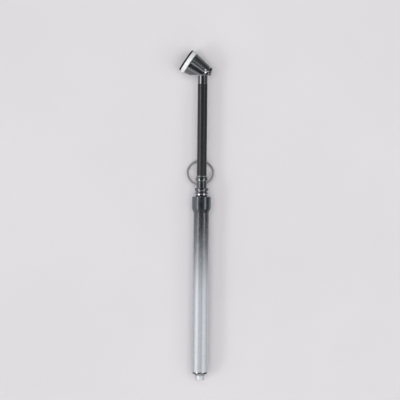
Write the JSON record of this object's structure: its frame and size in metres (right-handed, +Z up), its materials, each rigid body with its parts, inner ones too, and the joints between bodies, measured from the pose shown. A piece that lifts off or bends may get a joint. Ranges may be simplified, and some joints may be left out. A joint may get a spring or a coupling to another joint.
{
  "type": "tyre pressure gauge",
  "caption": "Stick tyre pressure gauge with an angled foot on a long black tube, a split hanging ring and a scale bar that slides out of a plated barrel.",
  "frame": {"origin": "on the barrel's axis, halfway along its straight outside", "axes": "+Y along the barrel towards the head, +X away from the side that the foot points to, +Z up as the gauge lies flat"},
  "size_m": [0.0323, 0.2983, 0.023],
  "materials": {
    "plated": "bright chrome plate",
    "plug_metal": "darker plated screw plug",
    "black_paint": "semi-gloss black paint",
    "rubber": "matt black rubber",
    "white_nylon": "white nylon with a printed scale",
    "brass": "turned brass",
    "steel": "spring steel",
    "fibre": "red fibre gasket",
    "alloy": "bright aluminium"
  },
  "bodies": {
    "gauge": {"barrel": "plated", "end_bush": "brass", "drag_leaf": "steel", "spring_washer": "steel", "range_spring": "steel", "collar": "plated", "barrel_gasket": "fibre", "neck_gasket": "fibre", "neck_fitting": "plated", "lower_tube_seal": "rubber", "extension_tube": "black_paint", "upper_tube_seal": "rubber", "head_sleeve": "plated", "head_body": "plated", "foot_flange": "plated", "foot_seal": "rubber", "depressor_pin": "brass", "rear_plug": "plug_metal", "plug_washer": "alloy"},
    "bar": {"indicator_bar": "white_nylon", "indicator_knob": "alloy"},
    "piston": {"piston": "brass", "piston_cup": "rubber", "cup_washer": "brass", "piston_screw": "brass"},
    "ring": {"hang_ring": "steel"}
  },
  "joints": [
    {"name": "bar_slide", "type": "slide", "parent": "gauge", "child": "bar", "axis": [0, -1, 0], "range_m": [0, 0.075], "deforming": ["range_spring"]},
    {"name": "piston_slide", "type": "slide", "parent": "gauge", "child": "piston", "axis": [0, -1, 0], "range_m": [0, 0.075], "deforming": ["range_spring"]},
    {"name": "ring_swing", "type": "hinge", "parent": "gauge", "child": "ring", "pos_m": [0, 0.098, -0.0016], "axis": [-1, 0, 0], "range_deg": [-8, 110]}
  ],
  "couplings": [
    {"joint": "piston_slide", "follows": "bar_slide", "ratio": 1}
  ]
}
